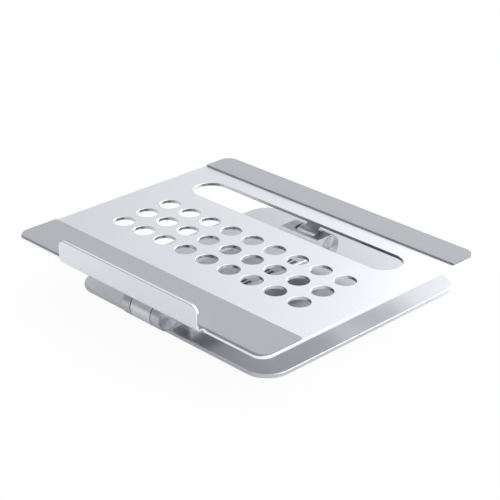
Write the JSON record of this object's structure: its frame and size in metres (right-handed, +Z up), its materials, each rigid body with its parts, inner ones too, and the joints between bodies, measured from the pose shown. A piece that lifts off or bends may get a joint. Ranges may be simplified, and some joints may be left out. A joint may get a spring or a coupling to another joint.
{
  "type": "laptop stand",
  "caption": "Folding aluminium laptop stand: a flat base, one centre arm with a friction hinge at each end, and a pierced tray with silicone pads and a front lip.",
  "frame": {"origin": "on the desk, under the middle of the whole footprint, with the stand folded flat", "axes": "+X to the right as seen from the lip, +Y from the lip to the back, +Z up"},
  "size_m": [0.272, 0.2534, 0.0641],
  "materials": {
    "silver_aluminium": "satin, fine bead-blasted and anodised",
    "turned_aluminium": "lathe-turned, bright",
    "grey_silicone": "matt",
    "foot_rubber": "matt",
    "hinge_steel": "satin",
    "bush_bronze": "satin",
    "washer_polymer": "matt"
  },
  "bodies": {
    "base_assembly": {"base_plate": "silver_aluminium", "base_feet": "foot_rubber", "lower_bracket": "silver_aluminium", "lower_bracket_screws": "hinge_steel", "lower_bush": "bush_bronze"},
    "arm_assembly": {"arm": "silver_aluminium", "lower_pin": "hinge_steel", "lower_thrust_washers": "washer_polymer", "lower_spring_washers": "hinge_steel", "lower_lock_nut": "hinge_steel", "lower_end_caps": "turned_aluminium", "upper_pin": "hinge_steel", "upper_thrust_washers": "washer_polymer", "upper_spring_washers": "hinge_steel", "upper_lock_nut": "hinge_steel", "upper_end_caps": "turned_aluminium"},
    "tray_assembly": {"tray": "silver_aluminium", "front_pad": "grey_silicone", "rear_pad": "grey_silicone", "upper_bracket": "silver_aluminium", "upper_bracket_screws": "hinge_steel", "upper_bush": "bush_bronze"}
  },
  "joints": [
    {"name": "lower_hinge", "type": "hinge", "parent": "base_assembly", "child": "arm_assembly", "pos_m": [0, -0.1029, 0.0259], "axis": [1, 0, 0], "range_deg": [0, 90]},
    {"name": "upper_hinge", "type": "hinge", "parent": "arm_assembly", "child": "tray_assembly", "pos_m": [0, 0.0683, 0.0259], "axis": [-1, 0, 0], "range_deg": [0, 50]}
  ]
}
